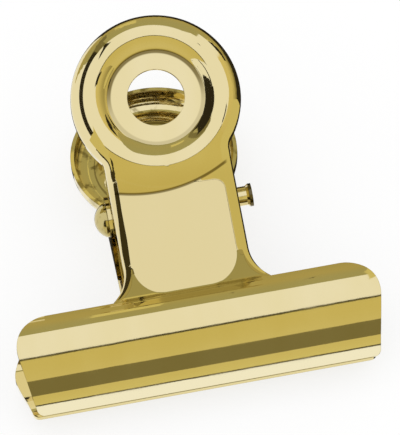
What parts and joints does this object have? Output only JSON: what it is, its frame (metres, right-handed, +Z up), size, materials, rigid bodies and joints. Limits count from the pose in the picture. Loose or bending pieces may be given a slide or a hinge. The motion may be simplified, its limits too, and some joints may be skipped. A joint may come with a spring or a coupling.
{
  "type": "bulldog clip",
  "caption": "Round-headed sprung letter clip: stamped plates with ring-pressed thumb discs and wide curved jaws, turning on a rivet and held shut by a torsion spring.",
  "frame": {"origin": "on the desk under the middle of the clip, which lies on its rear plate", "axes": "+X along the jaws and the rivet, +Y from the jaws towards the thumb discs, +Z up from the desk"},
  "size_m": [0.0758, 0.0786, 0.0401],
  "materials": {
    "plated_sheet": "bright plated",
    "plated_rivet": "bright plated",
    "spring_wire": "drawn wire"
  },
  "bodies": {
    "rear_half": {"rear_plate": "plated_sheet", "pivot_rivet": "plated_rivet", "torsion_spring": "spring_wire"},
    "front_half": {"front_plate": "plated_sheet"}
  },
  "joints": [
    {"name": "jaw_hinge", "type": "hinge", "parent": "rear_half", "child": "front_half", "pos_m": [0, 0.00063, 0.01348], "axis": [-1, 0, 0], "range_deg": [0, 48], "stiffness_Nm_per_rad": 0.5, "springref_deg": -45.84, "deforming": ["torsion_spring"]}
  ]
}
